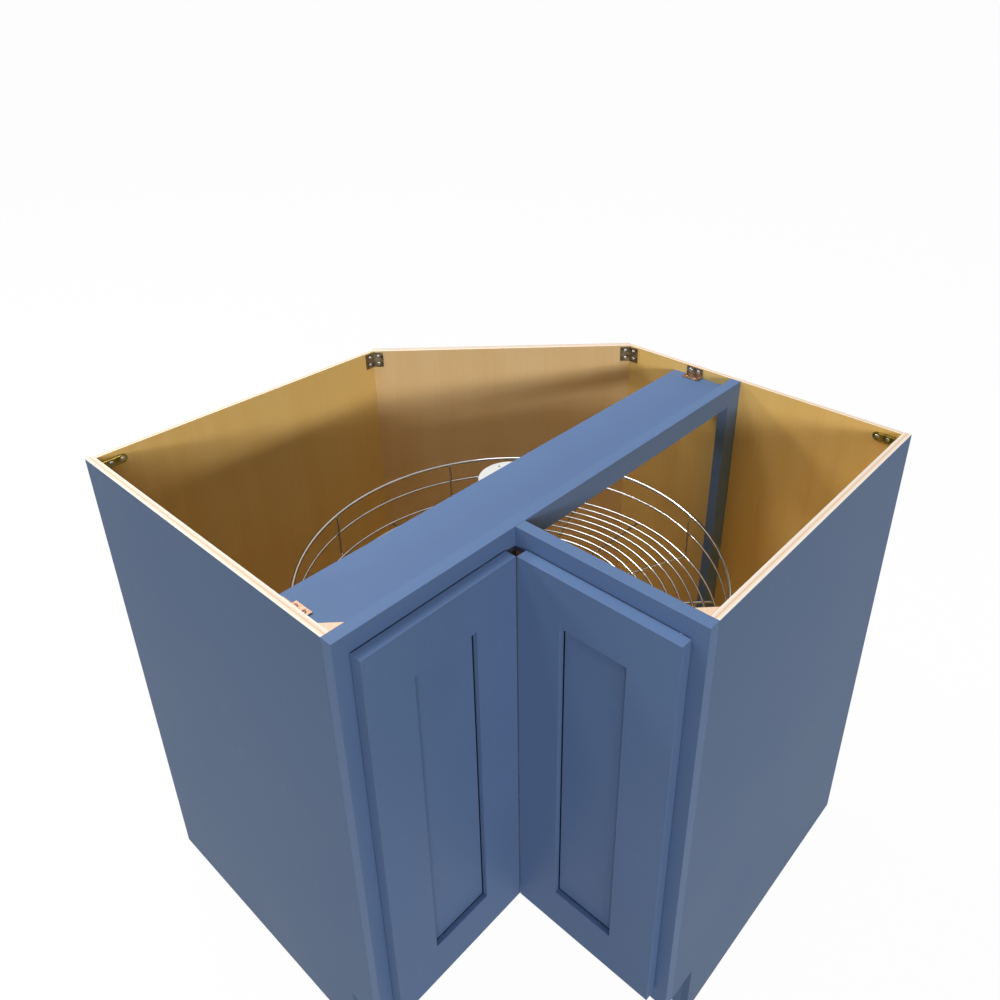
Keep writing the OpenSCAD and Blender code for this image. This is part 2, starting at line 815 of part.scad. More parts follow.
module posts() {
    for (k = [-spoke_last:spoke_last]) if (abs(k) % 2 == 1)
        rotate([0, 0, spoke_angle(k)]) translate([post_r, 0, -drop])
            cylinder(h = rim_rise + drop, d = spoke_d);
    for (a = [fillet_at + side_post_in, wing_r]) {
        translate([side_post, -a, -floor_hoop_d / 2])
            cylinder(h = rim_rise + floor_hoop_d / 2, d = spoke_d);
        translate([a, -side_post, -floor_hoop_d / 2])
            cylinder(h = rim_rise + floor_hoop_d / 2, d = spoke_d);
    }
}

module hub() {
    translate([0, 0, -drop - hub_below]) difference() {
        union() {
            cylinder(h = hub_below + drop + spoke_d, r = hub_r);
            cylinder(h = hub_below + hub_above, r = socket_r);
        }
        translate([0, 0, -1]) cylinder(h = hub_below + hub_above + 2, r = pole_r + pole_clear);
    }
}

module rim() { translate([0, 0, rim_rise]) hoop(0, rim_d); }

module mid_hoop() { translate([0, 0, mid_rise]) hoop(mid_inset, mid_d); }

module floor_hoop() {
    translate([0, 0, (floor_hoop_d - ring_d) / 2]) hoop(floor_inset, floor_hoop_d);
}

module upper_hub() { color(plastic) upper_place() hub(); }
module upper_rim() { color(chrome) upper_place() rim(); }
module upper_mid_hoop() { color(chrome) upper_place() mid_hoop(); }
module upper_floor_hoop() { color(chrome) upper_place() floor_hoop(); }
module upper_floor_rings() { color(chrome) upper_place() floor_rings(); }
module upper_spokes() { color(chrome) upper_place() spokes(); }
module upper_posts() { color(chrome) upper_place() posts(); }

module lower_hub() { color(plastic) lower_place() hub(); }
module lower_rim() { color(chrome) lower_place() rim(); }
module lower_mid_hoop() { color(chrome) lower_place() mid_hoop(); }
module lower_floor_hoop() { color(chrome) lower_place() floor_hoop(); }
module lower_floor_rings() { color(chrome) lower_place() floor_rings(); }
module lower_spokes() { color(chrome) lower_place() spokes(); }
module lower_posts() { color(chrome) lower_place() posts(); }

left_side_panel();
right_side_panel();
left_back_panel();
diagonal_back_panel();
right_back_panel();
main_floor();
right_floor();
left_toe_board();
right_toe_board();
left_outer_stile();
wall_stile();
left_top_rail();
left_bottom_rail();
right_outer_stile();
right_top_rail();
right_bottom_rail();
top_stretcher();
corner_blocks();
corner_braces();
back_corner_brackets();
stretcher_brackets();
bracket_screws();
centre_pole();
top_bearing_flange();
floor_bearing_plate();
flange_screws();
upper_collar();
lower_collar();
hinge_mounting_plates();
left_door_outer_stile();
left_door_corner_stile();
left_door_top_rail();
left_door_bottom_rail();
left_door_panel();
frame_hinge_cups();
fold_hinge_plates();
left_door_bumpers();
right_door_outer_stile();
right_door_corner_stile();
right_door_top_rail();
right_door_bottom_rail();
right_door_panel();
fold_hinge_cups();
right_door_bumpers();
upper_hub();
upper_rim();
upper_mid_hoop();
upper_floor_hoop();
upper_floor_rings();
upper_spokes();
upper_posts();
lower_hub();
lower_rim();
lower_mid_hoop();
lower_floor_hoop();
lower_floor_rings();
lower_spokes();
lower_posts();
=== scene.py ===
# %% [markdown]
# # A corner carousel cabinet
#
# This is a kitchen base cabinet for the corner of a room. Its box is plywood with a maple
# face, its two face frames and its folding doors are painted blue, and two wire trays turn on
# a pole inside. The construction is loaded as a fixed frame, and these cells dress it: soft
# edges, plywood layers, bent wires, stamped brackets, screws, and a finish on every surface.
#
# The frame is loaded first. Loading leaves its objects selected, and an operator acts on all
# that is selected, so the next step is to select nothing.

# %% Load the frame
import json
import math

import bpy
import numpy as np
from mathutils import Matrix, Vector

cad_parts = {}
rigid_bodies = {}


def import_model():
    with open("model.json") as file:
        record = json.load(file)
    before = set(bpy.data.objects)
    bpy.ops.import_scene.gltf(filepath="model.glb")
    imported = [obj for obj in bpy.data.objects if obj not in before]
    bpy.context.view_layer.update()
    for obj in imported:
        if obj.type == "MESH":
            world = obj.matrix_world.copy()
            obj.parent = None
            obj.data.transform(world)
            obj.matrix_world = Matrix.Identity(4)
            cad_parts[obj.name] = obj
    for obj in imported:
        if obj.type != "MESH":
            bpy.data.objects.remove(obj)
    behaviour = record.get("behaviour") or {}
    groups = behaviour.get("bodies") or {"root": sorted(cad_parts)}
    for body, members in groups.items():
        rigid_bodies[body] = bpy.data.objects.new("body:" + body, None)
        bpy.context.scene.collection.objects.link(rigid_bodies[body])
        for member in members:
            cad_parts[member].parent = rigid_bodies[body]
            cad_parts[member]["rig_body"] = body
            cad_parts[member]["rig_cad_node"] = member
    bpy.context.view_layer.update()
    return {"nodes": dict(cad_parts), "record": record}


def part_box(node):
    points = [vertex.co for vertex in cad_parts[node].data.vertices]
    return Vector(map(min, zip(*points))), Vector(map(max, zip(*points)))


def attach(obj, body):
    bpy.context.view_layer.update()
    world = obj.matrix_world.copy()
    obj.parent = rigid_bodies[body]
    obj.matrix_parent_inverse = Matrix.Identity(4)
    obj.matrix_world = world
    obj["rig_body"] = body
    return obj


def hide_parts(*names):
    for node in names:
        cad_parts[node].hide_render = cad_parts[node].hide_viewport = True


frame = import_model()
bpy.ops.object.select_all(action="DESELECT")
MM = 0.001
print("nodes:", len(frame["nodes"]))

# %% [markdown]
# ## The camera
#
# The view is from the open side of the corner, from standing height, looking down into the
# box. A camera could be aimed with a constraint at a target, but its place and its three
# angles say the same more plainly. The picture was cut from a larger one, so the lens is
# shifted: the optical axis isn't in the middle of the frame.

# %% Place the camera
PICTURE = 1000                  # pixels along a side
FOCAL = 878.9                   # pixels
AXIS_AT = (537.5, 408.4)        # pixels from the left and the top
STAND = (0.8186, -0.8669, 1.5648)
AZIMUTH, ELEVATION, ROLL = (math.radians(angle) for angle in (41.27, 27.54, 0.17))
SENSOR = 36

ahead = Vector((-math.sin(AZIMUTH) * math.cos(ELEVATION),
                math.cos(AZIMUTH) * math.cos(ELEVATION), -math.sin(ELEVATION)))
level = Vector((math.cos(AZIMUTH), math.sin(AZIMUTH), 0))
right = level * math.cos(ROLL) + level.cross(ahead) * math.sin(ROLL)
turn = Matrix((right, right.cross(ahead), -ahead)).transposed()
bpy.ops.object.camera_add(location=STAND, rotation=turn.to_euler())
camera = bpy.context.object
camera.data.sensor_width = SENSOR
camera.data.lens = SENSOR * FOCAL / PICTURE
camera.data.shift_x = 0.5 - AXIS_AT[0] / PICTURE
camera.data.shift_y = AXIS_AT[1] / PICTURE - 0.5
bpy.context.scene.camera = camera
print("lens:", round(camera.data.lens, 2), "shift:", camera.data.shift_x, camera.data.shift_y)

# %% [markdown]
# ## Shaders as arithmetic
#
# A material is a graph of nodes, and a long graph is hard to read in code. Two small classes
# make it short. A Value is one socket that adds, subtracts and multiplies like a number, and a
# Finish is a material whose node method makes any other node from its type, its settings and
# what goes into its sockets.

# %% A shader value and a finish
class Value:
    def __init__(self, finish, socket):
        self.finish, self.socket = finish, socket

    def maths(self, operation, first, second):
        return self.finish.node("ShaderNodeMath", {"operation": operation},
                                {0: first, 1: second})[0]

    def __add__(self, other): return self.maths("ADD", self, other)
    def __radd__(self, other): return self.maths("ADD", other, self)
    def __sub__(self, other): return self.maths("SUBTRACT", self, other)
    def __rsub__(self, other): return self.maths("SUBTRACT", other, self)
    def __mul__(self, other): return self.maths("MULTIPLY", self, other)
    def __rmul__(self, other): return self.maths("MULTIPLY", other, self)


class Outputs:
    def __init__(self, finish, node):
        self.finish, self.node = finish, node

    def __getitem__(self, key):
        return Value(self.finish, self.node.outputs[key])


class Finish:
    def __init__(self, name):
        self.material = bpy.data.materials.new(name)
        self.material.use_nodes = True
        self.tree = self.material.node_tree
        self.tree.nodes.clear()
        self.place = self.node("ShaderNodeTexCoord")["Object"]

    def node(self, kind, settings={}, sockets={}):
        made = self.tree.nodes.new(kind)
        for key, setting in settings.items():
            if key == "stops":
                self.set_stops(made.color_ramp, setting)
            else:
                setattr(made, key, setting)
        for key, given in sockets.items():
            if isinstance(given, Value):
                self.tree.links.new(given.socket, made.inputs[key])
            else:
                made.inputs[key].default_value = given
        return Outputs(self, made)

    def set_stops(self, ramp, stops):
        while len(ramp.elements) < len(stops):
            ramp.elements.new(1)
        for element, (place, colour) in zip(ramp.elements, stops):
            element.position, element.color = place, colour

    def stretched(self, scale):
        return self.node("ShaderNodeMapping", {}, {"Vector": self.place, "Scale": scale})[0]

    def noise(self, scale, detail=2, at=None):
        return self.node("ShaderNodeTexNoise", {},
                         {"Vector": at or self.place, "Scale": scale, "Detail": detail})["Fac"]

    def mix(self, share, first, second):
        return self.node("ShaderNodeMix", {"data_type": "RGBA"},
                         {0: share, 6: first, 7: second})[2]

    def ramp(self, share, *stops):
        return self.node("ShaderNodeValToRGB", {"stops": stops}, {"Fac": share})["Color"]

    def between(self, share, low, high):
        return self.node("ShaderNodeMapRange", {},
                         {"Value": share, "From Min": low, "From Max": high})[0]

    def bump(self, height, depth, strength=1):
        return self.node("ShaderNodeBump", {},
                         {"Height": height, "Distance": depth, "Strength": strength})["Normal"]

    def surface(self, **sockets):
        named = {key.replace("_", " "): given for key, given in sockets.items()}
        shader = self.node("ShaderNodeBsdfPrincipled", {}, named)["BSDF"]
        self.node("ShaderNodeOutputMaterial", {}, {"Surface": shader})
        return self.material


def colour(red, green, blue):
    """A colour as a paint chart gives it, 0 to 255, in the linear units of a shader."""
    def linear(part):
        part = part / 255
        return part / 12.92 if part < 0.04045 else ((part + 0.055) / 1.055) ** 2.4
    return (linear(red), linear(green), linear(blue), 1)


print("shader helpers ready")

# %% [markdown]
# ## Blue paint
#
# The frames, doors and outer faces have a sprayed satin paint. Up close it has a fine orange
# peel, it is never quite one colour, and it is rubbed a little paler in places. Three noises do
# this: a slow one that drifts the colour and the gloss over a hand's width, a middling one for
# the rubbed places, and a fine one that only makes a bump. A flat colour would look like
# plastic, and a photograph of paint can't be used here. The end panels are a little greyer than
# the frames, and the grooves round the door panels are painted near-black, which is painted
# shade.

# %% Mix the paint
DRIFT, RUBBING, PEEL = 5, 34, 420       # the noises' scales: repeats in a metre
MOST_RUBBED = 0.35


def blue_paint(name, dark, light, rubbed_to, gloss):
    paint = Finish(name)
    drift = paint.noise(DRIFT, 3)
    peel = paint.noise(PEEL, 2)
    rubbed = paint.between(paint.noise(RUBBING, 6), 0.62, 0.8)
    coat = paint.mix(drift, dark, light)
    worn = paint.mix(rubbed * MOST_RUBBED, coat, rubbed_to)
    return paint.surface(Base_Color=worn, Roughness=drift * 0.12 + 0.48,
                         Specular_IOR_Level=gloss, Normal=paint.bump(peel, 0.05 * MM))


PAINT = blue_paint("blue_paint", colour(93, 119, 160), colour(100, 127, 170),
                   colour(110, 136, 174), 0.22)
PANEL_PAINT = blue_paint("blue_panel_paint", colour(90, 114, 150), colour(96, 121, 158),
                         colour(103, 128, 163), 0.14)
# Near-black blue for the grooves round the door panels: painted shade.
QUIRK_PAINTED_SHADE = blue_paint("blue_quirk_painted_shade", colour(26, 36, 54), colour(34, 46, 66),
                         colour(40, 52, 72), 0.1)
print(PAINT.name, PANEL_PAINT.name, QUIRK_PAINTED_SHADE.name)

# %% [markdown]
# ## Maple and its layers
#
# Inside, the plywood shows its clear-coated maple face. The grain runs up the walls. A noise
# that is squeezed across the grain and drawn out along it gives the fibres, and a wave that
# the noise bends gives the flame of the growth rings. The diagonal back was cut from a rosier
# sheet. The top edges show the layers: pale face veneers, a pinkish core, and a thin dark glue
# line between. A colour ramp over the depth in the board lays them.

# %% Lay up the plywood
HONEY_MAPLE = colour(236, 195, 114), colour(243, 207, 131)
ROSY_MAPLE = colour(238, 200, 140), colour(244, 211, 158)
FRESH_VENEER, GREY_VENEER = colour(250, 240, 226), colour(206, 186, 166)
CORE, GLUE = colour(246, 222, 196), colour(222, 180, 146)


def maple(name, along, dark, pale):
    """Maple veneer whose grain runs along one axis: 0, 1 or 2 for X, Y or Z."""
    wood = Finish(name)
    fibre_scale = [190, 190, 190]
    fibre_scale[along] = 5
    flame_scale = [9, 9, 9]
    flame_scale[along] = 0.9
    fibres = wood.noise(1, 4, wood.stretched(fibre_scale))
    sway = wood.noise(1, 3, wood.stretched(flame_scale))
    rings = wood.node("ShaderNodeTexWave",
                      {"wave_type": "RINGS", "rings_direction": "XYZ"[along]},
                      {"Vector": wood.stretched(flame_scale), "Scale": 1.3, "Distortion": 7,
                       "Detail": 3, "Detail Scale": 0.8})["Fac"]
    figure = rings * 0.14 + fibres * 0.36 + sway * 0.5
    veneer = wood.ramp(figure, (0.25, dark), (0.75, pale))
    return wood.surface(Base_Color=veneer, Roughness=fibres * 0.15 + 0.42,
                        Specular_IOR_Level=0.25, Normal=wood.bump(fibres, 0.05 * MM))


def ply_edge(name, across, start, thickness, skin):
    """The edge of a board: its layers follow the distance from the outer face, its skin."""
    edge = Finish(name)
    reach = edge.node("ShaderNodeVectorMath", {"operation": "DOT_PRODUCT"},
                      {0: edge.place, 1: across})["Value"]
    ragged = edge.noise(160, 3)
    depth = (reach - start) * (1 / thickness) + (ragged - 0.5) * 0.09
    layers = edge.ramp(depth, (0, skin), (0.2, skin), (0.24, FRESH_VENEER), (0.34, CORE),
                       (0.46, CORE), (0.49, GLUE), (0.54, GLUE), (0.57, CORE), (0.74, CORE),
                       (0.78, FRESH_VENEER))
    return edge.surface(Base_Color=layers, Roughness=ragged * 0.2 + 0.52,
                        Normal=edge.bump(ragged, 0.15 * MM))


MAPLE_UP = maple("maple_up_the_wall", 2, *HONEY_MAPLE)
MAPLE_ALONG = maple("maple_floor", 1, *HONEY_MAPLE)
MAPLE_ROSY = maple("maple_rosy", 2, *ROSY_MAPLE)
print(MAPLE_UP.name, MAPLE_ROSY.name, MAPLE_ALONG.name)

# %% [markdown]
# ## Metals and plastics
#
# The wires are chromed: nearly a mirror, so their look comes from what they reflect, and a
# little unevenness in the roughness keeps the highlights alive. The brackets are zinc with a
# yellow passivation: gold on the corner braces, bronze on the others, and lighter and rosier on
# the sides that look up, which is painted light. Screws are nickel plated or red-brown, and the
# hinges' nickel is dull. One function makes each kind of metal, with two colours to drift between.
# The flanges and hubs are moulded in white plastic, the bumpers are clear rubber, the seal of the
# doors and the block above them are dark blue rubber that puts painted shade in the gap between
# the doors, and the corner blocks are bare softwood.

# %% Plate the metals and mould the plastics
def chrome_plate():
    plate = Finish("chromed_wire")
    smear = plate.noise(60, 3)
    return plate.surface(Base_Color=plate.mix(smear, colour(160, 156, 152), colour(200, 198, 196)),
                         Metallic=1.0, Roughness=smear * 0.10 + 0.06)


def yellow_zinc(name, dark, light):
    zinc = Finish(name)
    bloom = zinc.between(zinc.noise(110, 4), 0.3, 0.7)
    scratch = zinc.noise(1, 3, zinc.stretched((900, 900, 60)))
    return zinc.surface(Base_Color=zinc.mix(bloom, dark, light), Metallic=0.85,
                        Roughness=bloom * 0.12 + scratch * 0.1 + 0.26,
                        Normal=zinc.bump(scratch, 0.03 * MM))


def plated(name, dark, light):
    plate = Finish(name)
    stain = plate.noise(90, 4)
    return plate.surface(Base_Color=plate.mix(stain, dark, light), Metallic=1.0,
                         Roughness=stain * 0.16 + 0.2)


def white_plastic():
    plastic = Finish("white_plastic")
    grain = plastic.noise(600, 2)
    tone = plastic.noise(14, 2)
    shell = plastic.mix(tone, colour(228, 228, 224), colour(240, 240, 236))
    return plastic.surface(Base_Color=shell, Roughness=tone * 0.1 + 0.36,
                           Normal=plastic.bump(grain, 0.02 * MM))


def rubber(name, dull, light):
    soft = Finish(name)
    haze = soft.noise(200, 2)
    return soft.surface(Base_Color=soft.mix(haze, dull, light), Roughness=haze * 0.2 + 0.3)


def bare_softwood():
    wood = Finish("bare_softwood")
    lines = wood.node("ShaderNodeTexWave", {"wave_type": "BANDS", "bands_direction": "DIAGONAL"},
                      {"Vector": wood.place, "Scale": 70, "Distortion": 5, "Detail": 2})["Fac"]
    fibre = wood.noise(260, 3)
    sawn = wood.mix(lines * 0.4 + fibre * 0.6, colour(242, 204, 172), colour(250, 220, 192))
    return wood.surface(Base_Color=sawn, Roughness=0.6, Normal=wood.bump(fibre, 0.1 * MM))


CHROME = chrome_plate()
ZINC = yellow_zinc("yellow_zinc", colour(120, 112, 44), colour(206, 184, 96))
# Lighter, rosier zinc for faces that look up: painted light.
ROSY_ZINC_PAINTED_LIGHT = yellow_zinc("rosy_zinc_painted_light", colour(150, 112, 90), colour(190, 156, 132))
BRONZE_ZINC = yellow_zinc("bronze_zinc", colour(92, 84, 66), colour(166, 156, 132))
NICKEL = plated("nickel_plate", colour(176, 176, 178), colour(214, 212, 208))
DULL_NICKEL = plated("dull_nickel", colour(70, 68, 66), colour(112, 110, 106))
RED_STEEL = plated("red_brown_steel", colour(122, 70, 56), colour(190, 150, 136))
RUBBER = rubber("clear_rubber", colour(206, 206, 202), colour(228, 228, 224))
# Dark blue rubber for the fold seal and the block above the doors: painted shade in the gap.
DARK_RUBBER_PAINTED_SHADE = rubber("dark_rubber_painted_shade", colour(40, 52, 74), colour(52, 64, 88))
PLASTIC, SOFTWOOD = white_plastic(), bare_softwood()
print("metals and plastics ready")

# %% [markdown]
# ## Soft edges on boards
#
# A sawn board never has a perfectly sharp edge: the arris is sanded, and its highlight is what
# makes it look real. Each board could be modelled again, but the frame already holds its exact
# shape. So the node is duplicated, its loose triangles are merged, flat regions are made whole,
# and a bevel rounds the edges. The duplicate replaces the node, which stays as it is.

# %% Take a clean copy of a node and round its edges
NEARLY_FLAT = math.radians(0.5)


def pick(*objects):
    bpy.ops.object.select_all(action="DESELECT")
    for chosen in objects:
        chosen.select_set(True)
    bpy.context.view_layer.objects.active = objects[0]


def clean_copy(node, name):
    pick(frame["nodes"][node])
    bpy.ops.object.duplicate()
    piece = bpy.context.object
    piece.parent = None
    piece.name = name
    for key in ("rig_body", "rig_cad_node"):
        del piece[key]
    piece.data.materials.clear()
    bpy.ops.object.mode_set(mode="EDIT")
    bpy.ops.mesh.select_all(action="SELECT")
    bpy.ops.mesh.remove_doubles(threshold=0.02 * MM)
    bpy.ops.mesh.dissolve_limited(angle_limit=NEARLY_FLAT)
    bpy.ops.object.mode_set(mode="OBJECT")
    return piece


def bevel_edges(piece, radius, segments=2, sharper_than=35):
    pick(piece)
    bevel = piece.modifiers.new("arris", "BEVEL")
    bevel.width, bevel.segments = radius, segments
    bevel.limit_method, bevel.angle_limit = "ANGLE", math.radians(sharper_than)
    bpy.ops.object.modifier_apply(modifier=bevel.name)


def shade_flats(piece):
    """Smooth over the round edges, with the normals of the large faces kept flat."""
    pick(piece)
    bpy.ops.object.shade_smooth_by_angle(angle=math.radians(40))
    flats = piece.modifiers.new("flats", "WEIGHTED_NORMAL")
    flats.keep_sharp = True
    bpy.ops.object.modifier_apply(modifier=flats.name)


def round_edges(piece, radius, segments=2, sharper_than=35):
    bevel_edges(piece, radius, segments, sharper_than)
    shade_flats(piece)


def join(name, parts):
    pick(*parts)
    bpy.ops.object.join()
    bpy.context.object.name = name
    return bpy.context.object


def box(name, low, high):
    middle = [(a + b) / 2 for a, b in zip(low, high)]
    sizes = [b - a for a, b in zip(low, high)]
    bpy.ops.mesh.primitive_cube_add(size=1, location=middle, scale=sizes)
    made = bpy.context.object
    made.name = name
    bpy.ops.object.transform_apply(location=True, rotation=True, scale=True)
    return made


def settle(piece, body, slot, *nodes):
    """The piece moves with its body, and stands for its nodes."""
    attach(piece, body)
    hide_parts(*nodes)


BODIES = frame["record"]["behaviour"]["bodies"]
BODY_OF = {node: body for body, members in BODIES.items() for node in members}


def dressed(node, ending, radius, finish, slot, segments=2):
    piece = clean_copy(node, node + ending)
    round_edges(piece, radius, segments)
    piece.data.materials.append(finish)
    settle(piece, BODY_OF[node], slot, node)
    return piece


print("bodies:", {body: len(members) for body, members in BODIES.items()})

# %% [markdown]
# ## Frames
#
# A face frame is sprayed after it is glued, so the paint runs over its joints and no line shows
# there. If each member had its own round edges, every joint would have a groove. So the members
# are joined with a boolean, the whole frame gets its arris, and each member is sawn out of a
# copy with a second boolean, a large box. A bisect could saw too, but it doesn't fill the
# grooved ends of a door's rails well. The saw cuts a kerf away from the joint, so no face of the
# cut lies in a face of the next member. The stretcher and the toe boards are single boards.

# %% Round a frame as one and saw it into its members
ARRIS = 0.5 * MM
KERF = 0.1 * MM
FAR = 2                         # metres, past the end of any board


def cut_with(piece, tool, operation):
    cut = piece.modifiers.new("cut", "BOOLEAN")
    cut.object, cut.operation, cut.solver = tool, operation, "EXACT"
    pick(piece)
    bpy.ops.object.modifier_apply(modifier=cut.name)
    bpy.data.objects.remove(tool)


def glued(members):
    whole = clean_copy(members[0], "whole")
    for node in members[1:]:
        cut_with(whole, clean_copy(node, "member"), "UNION")
    bpy.ops.object.mode_set(mode="EDIT")
    bpy.ops.mesh.select_all(action="SELECT")
    bpy.ops.mesh.dissolve_limited(angle_limit=NEARLY_FLAT)
    bpy.ops.object.mode_set(mode="OBJECT")
    return whole


def sawn_out(whole, node, limits):
    """A copy of a part of the frame. A limit is (axis, 0 for low or 1 for high, place)."""
    reach = [[-FAR] * 3, [FAR] * 3]
    for axis, end, place in limits:
        reach[end][axis] = place
    pick(whole)
    bpy.ops.object.duplicate()
    piece = bpy.context.object
    cut_with(piece, box("saw", *reach), "INTERSECT")
    piece.name = node + "_painted"
    shade_flats(piece)
    piece.data.materials.append(PAINT)
    settle(piece, BODY_OF[node], "blue_paint", node)


def painted_frame(run, low_stile, high_stile, top_rail, bottom_rail, radius=ARRIS, segments=2):
    """run is the axis along the rails, 0 or 1. A frame may lack its low stile."""
    members = [node for node in (high_stile, low_stile, top_rail, bottom_rail) if node]
    whole = glued(members)
    bevel_edges(whole, radius, segments)
    half_way = (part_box(top_rail)[0][2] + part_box(bottom_rail)[1][2]) / 2
    high_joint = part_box(high_stile)[0][run] - KERF
    between = [(run, 1, high_joint)]
    if low_stile:
        low_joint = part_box(low_stile)[1][run] + KERF
        between.append((run, 0, low_joint))
        sawn_out(whole, low_stile, [(run, 1, low_joint)])
    sawn_out(whole, high_stile, [(run, 0, high_joint)])
    sawn_out(whole, top_rail, between + [(2, 0, half_way)])
    sawn_out(whole, bottom_rail, between + [(2, 1, half_way)])
    bpy.data.objects.remove(whole)
    print("frame of", members)


painted_frame(1, "left_outer_stile", "wall_stile", "left_top_rail", "left_bottom_rail")
painted_frame(0, None, "right_outer_stile", "right_top_rail", "right_bottom_rail")
for node in ("top_stretcher", "left_toe_board", "right_toe_board"):
    dressed(node, "_painted", ARRIS, PAINT, "blue_paint")

# %% [markdown]
# ## Plywood walls
#
# The end panels are painted outside, maple inside and bare on the edge, and the backs are maple
# on both faces, with all their edges bare. One material can't know which face it is on, so each
# panel gets three material slots, and each polygon is given its slot by the way it faces. The
# two floor boards are maple all over, and the corner blocks are bare softwood.

# %% Dress the walls and floors
SQUARE_ON, UPWARD = 0.9, 0.7    # cosines: how nearly a face looks that way
WALL_ARRIS = 0.35 * MM


def finish_faces(piece, across, outside, inside, edge):
    """An end panel is painted on its edges too, apart from the top one."""
    for finish in (outside, inside, edge):
        piece.data.materials.append(finish)
    for face in piece.data.polygons:
        facing = face.normal.dot(across)
        raw = outside is not PANEL_PAINT or face.normal.z > UPWARD
        face.material_index = 1 if facing > SQUARE_ON else 2 if raw and facing > -SQUARE_ON else 0


def wall(node, across, outside, inside=MAPLE_UP):
    """A plywood wall. across points from its outer face to its inner face."""
    across = Vector(across).normalized()
    reach = [corner.co.dot(across) for corner in frame["nodes"][node].data.vertices]
    skin = GREY_VENEER if inside is MAPLE_ROSY else FRESH_VENEER
    layers = ply_edge(node + "_layers", across, min(reach), max(reach) - min(reach), skin)
    piece = clean_copy(node, node + "_plywood")
    round_edges(piece, WALL_ARRIS)
    finish_faces(piece, across, outside, inside, layers)
    settle(piece, "cabinet", "blue_paint" if outside is PANEL_PAINT else "maple_plywood", node)


wall("left_side_panel", (0, 1, 0), PANEL_PAINT)
wall("right_side_panel", (-1, 0, 0), PANEL_PAINT)
wall("left_back_panel", (1, 0, 0), MAPLE_UP)
wall("right_back_panel", (0, -1, 0), MAPLE_UP)
wall("diagonal_back_panel", (1, -1, 0), MAPLE_ROSY, MAPLE_ROSY)
for node in ("main_floor", "right_floor"):
    dressed(node, "_plywood", ARRIS, MAPLE_ALONG, "maple_plywood")
dressed("corner_blocks", "_softwood", 0.6 * MM, SOFTWOOD, "maple_plywood")
print("walls and floors ready")

# %% [markdown]
# ## Doors
#
# Each door is a frame of two stiles and two rails round a flat panel. The painted arris of a
# door is rounder than a board's, and where the panel meets the frame there is a fine dark line.
# Joiners call such a groove a quirk. A dark line in the paint alone would look the same from every
# side, so it is a real groove here: the panel's front is inset to just inside the frame, pushed
# back, inset by the quirk's width, and pushed out again. The faces that lie deeper than the front
# then get a near-black paint as well: painted shade, on top of the shade that the groove's depth
# makes.

# %% Dress the doors
DOOR_ARRIS, PANEL_ARRIS = 1.1 * MM, 0.25 * MM
IN_THE_FRAME = 9 * MM           # the panel's edge that the frame holds
QUIRK_W, QUIRK_DEPTH, QUIRK_SLOPE = 2.4 * MM, 3.4 * MM, 0.2 * MM


def paint_quirk_shade(piece, node, run, front):
    """Faces below the front get the painted shade, apart from the back and the outer edges."""
    for finish in (PAINT, QUIRK_PAINTED_SHADE):
        piece.data.materials.append(finish)
    low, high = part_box(node)
    edge = 5 * MM
    surface = max(corner.co.dot(front) for corner in piece.data.vertices)
    for face in piece.data.polygons:
        sunk = surface - face.center.dot(front)
        groove = 0.3 * MM < sunk < QUIRK_DEPTH + 0.1 * MM and face.normal.dot(front) > -0.5
        inner = all(low[axis] + edge < face.center[axis] < high[axis] - edge for axis in (run, 2))
        face.material_index = 1 if groove and inner else 0


def door_panel(side, run, front):
    node = side + "_door_panel"
    piece = clean_copy(node, node + "_painted")
    pick(piece)
    bpy.ops.object.mode_set(mode="EDIT")
    bpy.ops.mesh.select_all(action="DESELECT")
    bpy.ops.object.mode_set(mode="OBJECT")
    for face in piece.data.polygons:
        face.select = face.normal.dot(front) > SQUARE_ON
    bpy.ops.object.mode_set(mode="EDIT")
    bpy.ops.mesh.select_mode(type="FACE")
    bpy.ops.mesh.inset(thickness=IN_THE_FRAME)
    bpy.ops.mesh.inset(thickness=QUIRK_SLOPE, depth=-QUIRK_DEPTH)
    bpy.ops.mesh.inset(thickness=QUIRK_W)
    bpy.ops.mesh.inset(thickness=QUIRK_SLOPE, depth=QUIRK_DEPTH)
    bpy.ops.object.mode_set(mode="OBJECT")
    round_edges(piece, PANEL_ARRIS, 1, 50)
    paint_quirk_shade(piece, node, run, front)
    settle(piece, side + "_door", "blue_paint", node)


for side, run, low, high, front in (("left", 1, "outer", "corner", Vector((1, 0, 0))),
                                    ("right", 0, "corner", "outer", Vector((0, -1, 0)))):
    painted_frame(run, f"{side}_door_{low}_stile", f"{side}_door_{high}_stile",
                  f"{side}_door_top_rail", f"{side}_door_bottom_rail", DOOR_ARRIS, 3)
    door_panel(side, run, front)
    dressed(f"{side}_door_bumpers", "_domed", 1.1 * MM, RUBBER, "clear_rubber", 4)
print("doors ready")

# %% [markdown]
# Where the two doors meet, their square ends leave a gap that would show the lit inside. A dark
# blue rubber seal on the left door's end closes it and puts painted shade in the gap: a thin strip
# in the gap, and a round bead on the line about which the right door folds, so the bead looks the
# same however far it folds. Above the doors, the same gap opens into a wedge under the frames'
# inner corner. A dark rubber block fills the view there as painted shade. Both are plain
# primitives at their size and place with their edges rounded, and they stay clear of the folding
# door.

# %% Seal the fold
STILE_LOW, STILE_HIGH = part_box("left_door_corner_stile")
FRONT_X, END_Y = STILE_HIGH[0], STILE_HIGH[1]
SEAL_LOW, SEAL_HIGH = STILE_LOW[2] + MM, STILE_HIGH[2] - MM
STRIP_T, STRIP_W, SET_BACK, LET_IN = 2.1 * MM, 1.9 * MM, 0.15 * MM, 0.1 * MM
BEAD_R = 0.9 * MM
SHADE_BLOCK_SIDE, SHADE_BLOCK_H, SHADE_BLOCK_GAP = 17 * MM, 15 * MM, 1 * MM

